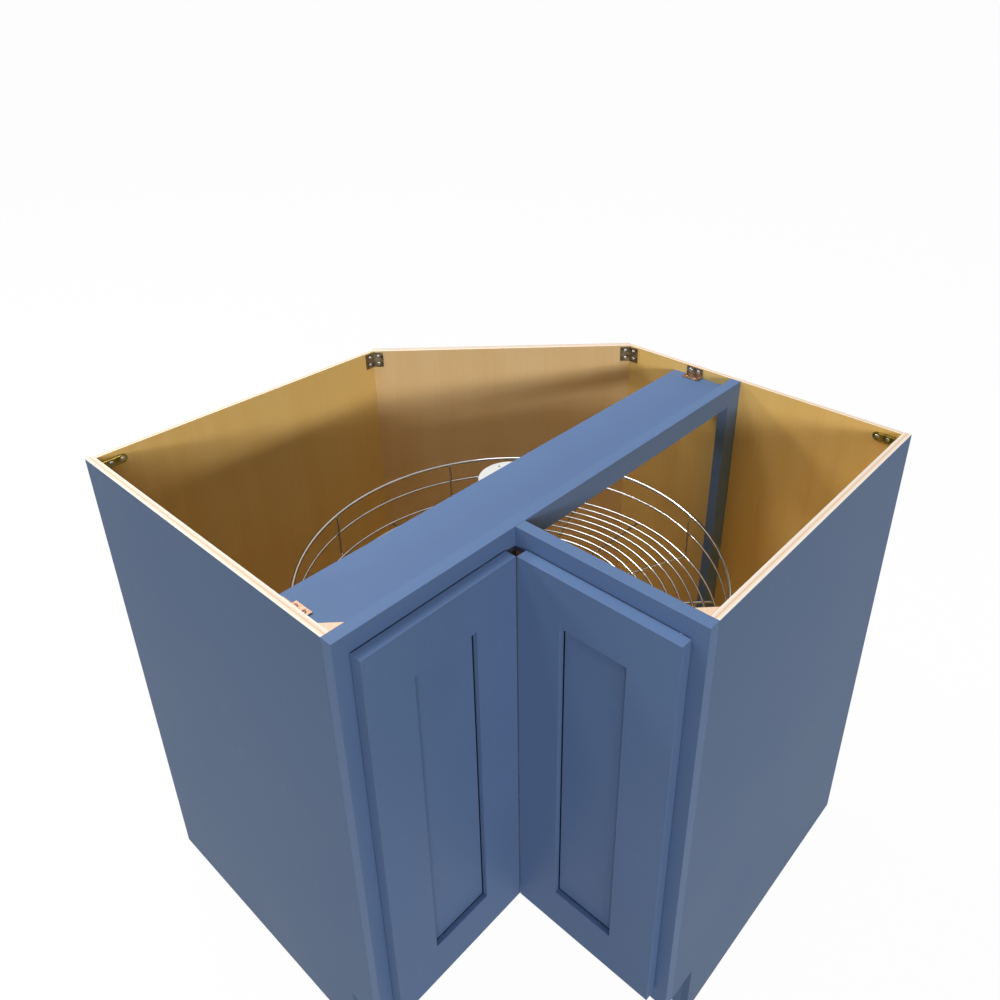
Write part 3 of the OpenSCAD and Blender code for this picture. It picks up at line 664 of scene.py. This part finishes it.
strip = box("strip", (FRONT_X - SET_BACK - STRIP_T, END_Y - LET_IN, SEAL_LOW),
            (FRONT_X - SET_BACK, END_Y + STRIP_W, SEAL_HIGH))
round_edges(strip, 0.4 * MM, 3)
bpy.ops.mesh.primitive_cylinder_add(
    vertices=16, radius=BEAD_R, depth=SEAL_HIGH - SEAL_LOW,
    location=(FRONT_X, END_Y + MM, (SEAL_LOW + SEAL_HIGH) / 2))
bead = bpy.context.object
bpy.ops.object.transform_apply(location=True, rotation=True, scale=True)
round_edges(bead, 0.2 * MM, 2, 60)
# The dark seal fills the gap between the doors as painted shade.
shade_seal = join("fold_shade_seal", [strip, bead])
shade_seal.data.materials.append(DARK_RUBBER_PAINTED_SHADE)
settle(shade_seal, "left_door", "clear_rubber")
print("seal:", [round(size, 4) for size in shade_seal.dimensions])

corner_x, _, rail_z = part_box("left_top_rail")[0]
near, far = corner_x + SHADE_BLOCK_GAP, corner_x + SHADE_BLOCK_GAP + SHADE_BLOCK_SIDE
# A dark block in the wedge above the doors: painted shade.
shade_block = box("fold_shade_block", (near, -far, rail_z - SHADE_BLOCK_H), (far, -near, rail_z))
round_edges(shade_block, 1.5 * MM, 3)
shade_block.data.materials.append(DARK_RUBBER_PAINTED_SHADE)
settle(shade_block, "cabinet", "clear_rubber")
print("stop:", [round(size, 4) for size in shade_block.dimensions])

# %% [markdown]
# ## Wires
#
# Every wire of a tray is one length of round steel, bent and welded. A curve object with a
# round bevel would do, but in edit mode the shop's own steps can be followed: a circle is
# drawn as the wire's section, a spin bends it round a centre, and an extrusion runs it
# straight. A closed hoop ends where it began, and its two ends are merged.

# %% Bend a wire
SIDES = 12
ARC_STEP = math.radians(3)


def bend_wire(name, start, heading, moves, thickness, closed=False):
    """Moves are ("turn", centre, angle, axis or +Z) and ("run", distance)."""
    heading = Vector(heading).normalized()
    start = Vector(start)
    aim = heading.to_track_quat("Z", "Y").to_euler()
    bpy.ops.mesh.primitive_circle_add(vertices=SIDES, radius=thickness / 2, location=start,
                                      rotation=aim, fill_type="NOTHING" if closed else "NGON")
    wire = bpy.context.object
    bpy.ops.object.transform_apply(location=True, rotation=True, scale=True)
    bpy.ops.object.mode_set(mode="EDIT")
    bpy.ops.mesh.select_all(action="SELECT")
    for kind, *how in moves:
        if kind == "turn":
            centre, angle, *axis = how
            axis = Vector(axis[0] if axis else (0, 0, 1))
            bpy.ops.mesh.spin(steps=max(4, round(abs(angle) / ARC_STEP)), angle=-angle,
                              center=centre, axis=axis)
            heading = Matrix.Rotation(angle, 3, axis) @ heading
        else:
            bpy.ops.mesh.extrude_region_move(
                TRANSFORM_OT_translate={"value": heading * how[0]})
    bpy.ops.mesh.select_all(action="SELECT")
    bpy.ops.mesh.remove_doubles(threshold=0.05 * MM)
    bpy.ops.mesh.normals_make_consistent(inside=False)
    bpy.ops.object.mode_set(mode="OBJECT")
    bpy.ops.object.shade_smooth_by_angle(angle=math.radians(50))
    wire.name = name
    return wire


trial = bend_wire("trial", (0.1, 0, 0), (0, 1, 0),
                  [("turn", (0, 0, 0), math.tau / 4), ("run", 0.05)], 6.5 * MM)
print("trial wire:", len(trial.data.polygons), [round(s, 4) for s in trial.dimensions])
bpy.data.objects.remove(trial)

# %% [markdown]
# ## The trays
#
# A tray is a basket of welded wire. Three hoops follow the same kidney plan: round the back,
# in at the cut-out, and back round the other end. The floor is a set of rings inside the
# lowest hoop, and spokes carry them from the hub. Every other spoke turns up at its end and
# becomes an upright. On the real tray that is one bent wire, so here it is one too. Where two
# wires meet they overlap by the depth of a weld. A plan could be drawn with a curve and swept,
# but the arcs and straight runs are simple enough to be worked out.

# %% Lay out a tray
POLE = Vector((22.8, -22.8, 0)) * MM
RIM_R, CUT_OUT, INNER_CORNER = 352.35 * MM, 75 * MM, 70 * MM
WING = RIM_R - CUT_OUT
CORNER_AT = CUT_OUT + INNER_CORNER
RIM_D, MID_D, LOW_D, WIRE_D, WELD = 6.5 * MM, 4.5 * MM, 5 * MM, 4 * MM, 0.3 * MM
POST_IN = (RIM_D + WIRE_D) / 2 - WELD
MID_IN = POST_IN - (MID_D + WIRE_D) / 2 + WELD
LOW_IN = POST_IN + (LOW_D + WIRE_D) / 2 - WELD
RIM_Z, MID_Z, LOW_Z = 83 * MM, 45 * MM, 0.5 * MM
SPOKE_Z = -WIRE_D + WELD
HUB_R, IN_THE_HUB = 30 * MM, 6 * MM
QUARTER = math.tau / 4
TO_CORNER = CORNER_AT * math.sqrt(2)    # from the pole to the middle of the inner corner's bend


def hoop(name, inset, height, thickness):
    """A closed wire along the plan, some way inside the rim."""
    reach, straight = RIM_R - inset, WING - CORNER_AT
    return bend_wire(name, (reach, 0, height), (0, 1, 0), [
        ("turn", (0, 0, height), 3 * QUARTER), ("turn", (0, -WING, height), QUARTER),
        ("run", straight), ("turn", (CORNER_AT, -CORNER_AT, height), -QUARTER),
        ("run", straight), ("turn", (WING, 0, height), QUARTER)], thickness, closed=True)


def open_ring(reach, first):
    """A ring that starts and ends at the floor hoop, beside the cut-out."""
    begin = Vector((math.cos(first), math.sin(first), 0))
    return bend_wire("ring", begin * reach, (-begin.y, begin.x, 0),
                     [("turn", (0, 0, 0), 3 * QUARTER - 2 * first)], WIRE_D)


def closed_ring(reach):
    return bend_wire("ring", (reach, 0, 0), (0, 1, 0), [("turn", (0, 0, 0), math.tau)], WIRE_D,
                     closed=True)


def meets(reach, far, radius):
    """The angle at the pole between a circle's middle and where the circle meets a ring."""
    return math.acos((reach ** 2 + far ** 2 - radius ** 2) / (2 * reach * far))


def ring_start(reach):
    """Where a floor ring meets the floor hoop beside the cut-out, as an angle."""
    side = CUT_OUT - LOW_IN
    if reach > math.hypot(WING, side):
        return -meets(reach, WING, side)
    if reach > math.hypot(CORNER_AT, side):
        return -math.asin(side / reach)
    return -QUARTER / 2 + meets(reach, TO_CORNER, INNER_CORNER + LOW_IN)


print("wing:", round(WING, 4), "inner corner:", round(CORNER_AT, 4))

# %% [markdown]
# The wires of one kind are joined into one piece, because they are one thing to the eye and to
# the tree. The rings have to be bent one by one, since each has its own radius, but a spoke is
# bent once for each of its directions.

# %% Bend and join the wires of a tray
BEND_R = 7 * MM
RING_PITCH, MOST_RINGS = 18.7 * MM, 15
SPOKES_ABOUT, SPOKE_PITCH, SPOKES_EACH_WAY = 135, 21.7, 6      # degrees, and a count
UPPER_AT, UPPER_TURNED = 581 * MM, math.radians(-3.4)
LOWER_AT, LOWER_TURNED = 226 * MM, 0


def spoke(angle, turned_up):
    out = Vector((math.cos(angle), math.sin(angle), 0))
    start = out * (HUB_R - IN_THE_HUB) + Vector((0, 0, SPOKE_Z))
    if not turned_up:
        length = RIM_R - LOW_IN + LOW_D / 2 - HUB_R + IN_THE_HUB
        return bend_wire("spoke", start, out, [("run", length)], WIRE_D)
    length = RIM_R - POST_IN - BEND_R - HUB_R + IN_THE_HUB
    centre = start + out * length + Vector((0, 0, BEND_R))
    side = out.cross(Vector((0, 0, 1)))
    return bend_wire("spoke", start, out, [
        ("run", length), ("turn", centre, QUARTER, side),
        ("run", RIM_Z - SPOKE_Z - BEND_R)], WIRE_D)


def rings_of_floor():
    """Open rings outside the bend of the inner corner, closed ones inside it."""
    rings = []
    touch = TO_CORNER - INNER_CORNER - LOW_IN
    for step in range(1, MOST_RINGS + 1):
        reach = RIM_R - LOW_IN - step * RING_PITCH
        if reach > touch:
            rings.append(open_ring(reach, ring_start(reach)))
        elif reach < touch - (WIRE_D + LOW_D) / 2:
            rings.append(closed_ring(reach))
    return rings


def spokes_and_posts():
    """Every other spoke turns up, and four posts stand along the cut-out."""
    made = [spoke(math.radians(SPOKES_ABOUT + SPOKE_PITCH * step), step % 2 != 0)
            for step in range(-SPOKES_EACH_WAY, SPOKES_EACH_WAY + 1)]
    side, low = CUT_OUT - POST_IN, -LOW_D / 2
    for far in (CORNER_AT + 20 * MM, WING):
        for foot in ((side, -far, low), (far, -side, low)):
            made.append(bend_wire("post", foot, (0, 0, 1), [("run", RIM_Z - low)], WIRE_D))
    return made


def set_in_place(piece, height, turned):
    pick(piece)
    piece.location = POLE + Vector((0, 0, height))
    piece.rotation_euler = (0, 0, turned)
    bpy.ops.object.transform_apply(location=True, rotation=True, scale=True)
    piece.data.materials.append(CHROME)


def tray(label, height, turned):
    rings, spokes = rings_of_floor(), spokes_and_posts()
    made = {"rim": hoop(label + "_bent_rim", 0, RIM_Z, RIM_D),
            "mid_hoop": hoop(label + "_bent_mid_hoop", MID_IN, MID_Z, MID_D),
            "floor_hoop": hoop(label + "_bent_floor_hoop", LOW_IN, LOW_Z, LOW_D),
            "floor_rings": join(label + "_bent_floor_rings", rings),
            "spokes": join(label + "_bent_spokes", spokes)}
    for part, piece in made.items():
        set_in_place(piece, height, turned)
        nodes = [label + "_" + part] + ([label + "_posts"] if part == "spokes" else [])
        settle(piece, label + "_tray", "chromed_wire", *nodes)
    print(label, "tray:", len(rings), "rings,", len(spokes), "spokes and posts")


tray("upper", UPPER_AT, UPPER_TURNED)
tray("lower", LOWER_AT, LOWER_TURNED)

# %% [markdown]
# ## Hubs, flanges, pole and collars
#
# The moulded parts are round and simple, and their shapes come from the frame as they are.
# What makes a moulding look moulded is the rounding of its rims, so they get a wider bevel than
# the boards, in more steps. The pole, the collars and the hinges' cups and plates are metal, and
# get the same treatment with narrower bevels.

# %% Soften the round parts
for node in ("upper_hub", "lower_hub", "top_bearing_flange", "floor_bearing_plate"):
    dressed(node, "_moulded", 1.0 * MM, PLASTIC, "white_plastic", 3)
for node in ("upper_collar", "lower_collar"):
    dressed(node, "_turned", 0.8 * MM, NICKEL, "nickel_steel", 2)
dressed("centre_pole", "_plated", 1.0 * MM, CHROME, "chromed_wire", 2)
for node in ("hinge_mounting_plates", "frame_hinge_cups", "fold_hinge_plates", "fold_hinge_cups"):
    dressed(node, "_pressed", 0.4 * MM, DULL_NICKEL, "nickel_steel", 2)
print("round parts ready")

# %% [markdown]
# ## Brackets
#
# The brackets are stamped from sheet steel, passivated yellow, gold on the corner braces and
# duller on the bent ones. The corner braces have a narrow lip folded out along the top, and the
# lip catches the light. One face of a brace's outline could be extruded, but here a thin box
# with rounded edges is laid along each leg, which gives the same fold and is simpler to read.
# The two angle brackets on the stretcher look rosy from above, so their upper faces get a
# lighter, rosier finish of their own, which is painted light.

# %% Stamp the brackets
LIP_OUT, LIP_T, LIP_FROM, LIP_TO = 6 * MM, 1.6 * MM, 3 * MM, 35 * MM
BRACE_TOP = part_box("corner_braces")[1][2]


def paint_light_upward(piece, finish):
    """Faces that look up get the second finish, here a painted light."""
    piece.data.materials.append(finish)
    for face in piece.data.polygons:
        face.material_index = 1 if face.normal.z > UPWARD else 0


def lip(corner, along, out):
    """A lip along one leg of a brace, measured from its corner, standing out from its wall."""
    corner, along, out = Vector(corner), Vector(along), Vector(out)
    ends = [corner + along * LIP_FROM, corner + along * LIP_TO + out * LIP_OUT]
    low = [min(pair) for pair in zip(*ends)][:2] + [BRACE_TOP - LIP_T]
    high = [max(pair) for pair in zip(*ends)][:2] + [BRACE_TOP]
    made = box("lip", low, high)
    round_edges(made, 0.6 * MM, 2)
    return made


braces = clean_copy("corner_braces", "corner_braces_stamped")
round_edges(braces, 0.35 * MM)
brace_low, brace_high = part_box("corner_braces")
left_corner = (brace_low[0], brace_low[1], 0)
right_corner = (brace_high[0], brace_high[1], 0)
braces = join("corner_braces_stamped", [
    braces, lip(left_corner, (0, 1, 0), (1, 0, 0)), lip(left_corner, (1, 0, 0), (0, 1, 0)),
    lip(right_corner, (-1, 0, 0), (0, -1, 0)), lip(right_corner, (0, -1, 0), (-1, 0, 0))])
braces.data.materials.append(ZINC)
settle(braces, "cabinet", "yellow_zinc", "corner_braces")
dressed("back_corner_brackets", "_stamped", 0.5 * MM, BRONZE_ZINC, "yellow_zinc")
angles = dressed("stretcher_brackets", "_stamped", 0.5 * MM, BRONZE_ZINC, "yellow_zinc")
# The upward faces of the angle brackets get the lighter rosy zinc: painted light.
paint_light_upward(angles, ROSY_ZINC_PAINTED_LIGHT)
print("braces from", [round(v, 4) for v in brace_low], "to", [round(v, 4) for v in brace_high])

# %% [markdown]
# ## Screws
#
# A pan-head screw is a low dome with a cross recess. One is made at the origin, pointing down:
# a cylinder for the head, two insets that raise its top to a dome, two thin boxes that a boolean
# modifier cuts out of it, and a plain cylinder for the shank. The thread is left off, because the
# shank is always in the wood.

# %% Make one screw
HEAD_R, HEAD_H, SHANK_R, SHANK_L = 3.4 * MM, 1.6 * MM, 1.7 * MM, 8.8 * MM
SHANK_IN_HEAD = 0.2 * MM
RECESS_W, RECESS_L, RECESS_DEPTH = 0.9 * MM, 3.8 * MM, 1.1 * MM


def pan_head_screw():
    bpy.ops.mesh.primitive_cylinder_add(vertices=24, radius=HEAD_R, depth=HEAD_H * 0.5,
                                        location=(0, 0, HEAD_H * 0.25))
    screw = bpy.context.object
    bpy.ops.object.transform_apply(location=True, rotation=True, scale=True)
    for face in screw.data.polygons:
        face.select = face.normal.z > SQUARE_ON
    bpy.ops.object.mode_set(mode="EDIT")
    bpy.ops.mesh.select_mode(type="FACE")
    bpy.ops.mesh.inset(thickness=HEAD_R * 0.12, depth=HEAD_H * 0.25)
    bpy.ops.mesh.inset(thickness=HEAD_R * 0.28, depth=HEAD_H * 0.25)
    bpy.ops.object.mode_set(mode="OBJECT")
    for width, length in ((RECESS_W, RECESS_L), (RECESS_L, RECESS_W)):
        slot = box("slot", (-width / 2, -length / 2, HEAD_H - RECESS_DEPTH),
                   (width / 2, length / 2, HEAD_H * 2))
        cut_with(screw, slot, "DIFFERENCE")
    bpy.ops.mesh.primitive_cylinder_add(vertices=16, radius=SHANK_R, depth=SHANK_L,
                                        location=(0, 0, SHANK_IN_HEAD - SHANK_L / 2))
    shank = bpy.context.object
    bpy.ops.object.transform_apply(location=True, rotation=True, scale=True)
    screw = join("screw", [screw, shank])
    bpy.ops.object.shade_smooth_by_angle(angle=math.radians(35))
    return screw


SCREW = pan_head_screw()
print("screw:", len(SCREW.data.polygons), "faces", [round(size, 4) for size in SCREW.dimensions])

# %% [markdown]
# The frame's screws are plain solids, and each is an island of its node's mesh. The copy of the
# node is separated into its islands. The middle of one and its longest direction give the place
# and the aim of a copy of the modelled screw, and the wider end is the head. Each copy is turned
# a little further, because no two screws stop alike. Placing them by hand would do as well, but
# this keeps them in their holes when the frame changes.

# %% Drive the screws
TURNED_EACH = 0.9               # radians


def islands(node):
    piece = clean_copy(node, "loose")
    bpy.ops.object.mode_set(mode="EDIT")
    bpy.ops.mesh.select_all(action="SELECT")
    bpy.ops.mesh.separate(type="LOOSE")
    bpy.ops.object.mode_set(mode="OBJECT")
    loose = list(bpy.context.selected_objects)
    clouds = [np.array([list(corner.co) for corner in one.data.vertices]) for one in loose]
    for one in loose:
        bpy.data.objects.remove(one)
    return sorted(clouds, key=lambda cloud: tuple(cloud.mean(0).round(5)))


def seat(cloud):
    """The underside of a screw's head, and the way its head looks."""
    middle = cloud.mean(0)
    axes = np.linalg.svd(cloud - middle, full_matrices=False)[2]
    axis = max(axes, key=lambda one: np.ptp(cloud @ one))
    along = (cloud - middle) @ axis
    radius = np.linalg.norm(cloud - middle - np.outer(along, axis), axis=1)
    if radius[along > 0].max() < radius[along < 0].max():
        axis, along = -axis, -along
    return Vector(middle + axis * (along.max() - HEAD_H)), Vector(axis)


def drive(node, finish_of):
    groups = {}
    for count, cloud in enumerate(islands(node)):
        place, up = seat(cloud)
        pick(SCREW)
        bpy.ops.object.duplicate()
        copy = bpy.context.object
        twist = Matrix.Rotation(count * TURNED_EACH, 3, "Z")
        turned = up.to_track_quat("Z", "Y").to_matrix() @ twist
        copy.matrix_world = Matrix.Translation(place) @ turned.to_4x4()
        bpy.ops.object.transform_apply(location=True, rotation=True, scale=True)
        copy.data.materials.append(finish_of(up))
        groups.setdefault(finish_of(up).name, []).append(copy)
    made = join(node + "_driven", [one for group in groups.values() for one in group])
    settle(made, "cabinet", "nickel_steel", node)
    print(node, {name: len(group) for name, group in groups.items()})


drive("bracket_screws", lambda up: RED_STEEL if up.z > UPWARD else NICKEL)
drive("flange_screws", lambda up: NICKEL)
bpy.data.objects.remove(SCREW)

# %% [markdown]
# ## Floor and light
#
# The cabinet stands on a plain pale floor. To the camera, and in a reflection, the floor is
# white paper that keeps a trace of the shadow. To every other ray it is a plain matt floor, so it
# lights the cabinet only as a floor does. A Light Path node tells the two kinds of ray apart. A
# brighter floor and more light would turn it white too, but the pale wood would bleach.

# %% Lay the floor
WHITE = (1, 1, 1, 1)
FLOOR_BOUNCE = (0.32, 0.30, 0.27, 1)
FLOOR_SIZE = 300
PAPER = 0.98                    # how far the floor that is looked at is white paper
bpy.ops.mesh.primitive_plane_add(size=FLOOR_SIZE, location=(0, 0, 0))
ground = bpy.context.object
ground.name = "ground"
bpy.ops.object.mode_set(mode="EDIT")
bpy.ops.mesh.subdivide(number_cuts=3)
bpy.ops.object.mode_set(mode="OBJECT")


def looked_at(finish):
    """1 for a ray from the camera, or by way of a gloss or a glass, and 0 for any other."""
    path = finish.node("ShaderNodeLightPath")
    glossy = finish.node("ShaderNodeMath", {"operation": "MAXIMUM"},
                         {0: path["Is Glossy Ray"], 1: path["Is Transmission Ray"]})[0]
    return finish.node("ShaderNodeMath", {"operation": "MAXIMUM"},
                       {0: path["Is Camera Ray"], 1: glossy})[0]


paper = Finish("paper_floor")
seen = looked_at(paper)
tone = paper.mix(seen, FLOOR_BOUNCE, WHITE)
matt = paper.node("ShaderNodeBsdfDiffuse", {}, {"Color": tone})["BSDF"]
white = paper.node("ShaderNodeEmission", {}, {"Color": WHITE, "Strength": 1})["Emission"]
floor = paper.node("ShaderNodeMixShader", {}, {0: seen * PAPER, 1: matt, 2: white})["Shader"]
paper.node("ShaderNodeOutputMaterial", {}, {"Surface": floor})
ground.data.materials.append(paper.material)
print("floor:", list(ground.dimensions))

# %% [markdown]
# ## Lamps
#
# Six soft lamps light the cabinet. Four hang high above it and behind its left side. Each back
# and end panel throws a soft shadow band on the wall across from it, and the places of these
# lamps decide where the bands lie. Two long low ones light the painted fronts and ends, one from
# the right and one from the front. One large lamp would be simpler, but its light would leave
# no bands.

# %% Hang the lamps
AIM = Vector((0, 0, 0.8))
NEUTRAL, WARM = (1, 1, 1), (1, 0.99, 0.97)


def lamp(name, place, width, height, watts, tint):
    bpy.ops.object.light_add(type="AREA", location=place)
    light = bpy.context.object
    light.name = name
    light.data.shape, light.data.size, light.data.size_y = "RECTANGLE", width, height
    light.data.energy, light.data.color = watts, tint
    light.rotation_euler = (AIM - Vector(place)).to_track_quat("-Z", "Y").to_euler()
    print(name, "at", place, watts, "W")


lamp("overhead_lamp", (0.1, -0.1, 4.2), 1, 1, 26, NEUTRAL)
lamp("high_left_lamp", (-1.3, -1.3, 4.2), 1, 1, 32, NEUTRAL)
lamp("high_behind_lamp", (-2.2, 0.4, 4.2), 1, 1, 60, NEUTRAL)
lamp("behind_left_lamp", (-4.8, -1.47, 4.1), 1.2, 1.2, 130, WARM)
lamp("right_lamp", (7.6, -2.4, 2.15), 3.0, 0.6, 150, WARM)
lamp("front_lamp", (5.1, -5.8, 2.2), 3.0, 0.6, 172, WARM)

# %% [markdown]
# The sky is white to the camera and in a reflection, and very dim to every other ray, so that the
# shadows stay deep in the box. Its nodes are made with the same method as a finish's.

# %% Hang the sky
SKY_GLOW = 0.05


class Sky(Finish):
    def __init__(self, name):
        self.world = bpy.data.worlds.new(name)
        self.world.use_nodes = True
        self.tree = self.world.node_tree
        self.tree.nodes.clear()


sky = Sky("sky")
bright = looked_at(sky)
strength = bright * (1 - SKY_GLOW) + SKY_GLOW
air = sky.node("ShaderNodeBackground", {}, {"Color": WHITE, "Strength": strength})
sky.node("ShaderNodeOutputWorld", {}, {"Surface": air["Background"]})
bpy.context.scene.world = sky.world
bpy.context.scene.view_settings.view_transform = "Standard"
print("sky:", sky.world.name)
